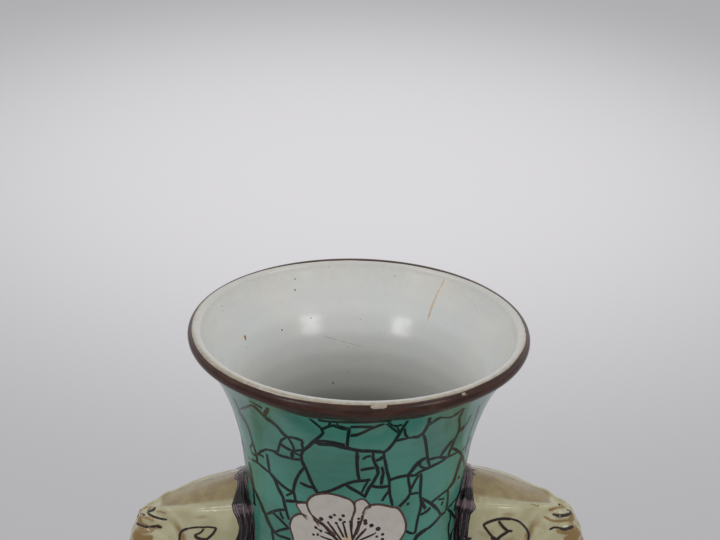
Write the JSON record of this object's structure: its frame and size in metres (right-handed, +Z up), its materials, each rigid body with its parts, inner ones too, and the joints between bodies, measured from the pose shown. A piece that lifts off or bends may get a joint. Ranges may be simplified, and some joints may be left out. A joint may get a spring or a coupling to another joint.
{
  "type": "baluster vase",
  "caption": "Porcelain baluster vase with a flared mouth, a brown lip, a green cracked-ice and prunus ground, and elephant-head handles on its neck.",
  "frame": {"origin": "centre of the foot, on the surface that the vase stands on", "axes": "+Z up along the vase's axis; the handles stand out along +X (right) and -X (left); -Y is the front"},
  "size_m": [0.2269, 0.212, 0.45],
  "materials": {
    "green_enamel": "glossy green enamel over porcelain, with a painted cracked-ice ground",
    "brown_dressing": "iron-brown dressing, softly glossy",
    "yellow_enamel": "pale straw-yellow enamel, pooling to ochre in the folds",
    "aubergine_enamel": "aubergine enamel, glossy",
    "ivory_enamel": "clear glaze over white porcelain"
  },
  "bodies": {
    "root": {"base_section": "green_enamel", "belly_section": "green_enamel", "shoulder_section": "green_enamel", "neck_section": "green_enamel", "mouth_lip": "brown_dressing", "right_head_front": "yellow_enamel", "right_head_back": "yellow_enamel", "right_ear_front": "aubergine_enamel", "right_ear_back": "aubergine_enamel", "right_tusk_front": "ivory_enamel", "right_tusk_back": "ivory_enamel", "left_head_front": "yellow_enamel", "left_head_back": "yellow_enamel", "left_ear_front": "aubergine_enamel", "left_ear_back": "aubergine_enamel", "left_tusk_front": "ivory_enamel", "left_tusk_back": "ivory_enamel"}
  },
  "joints": []
}
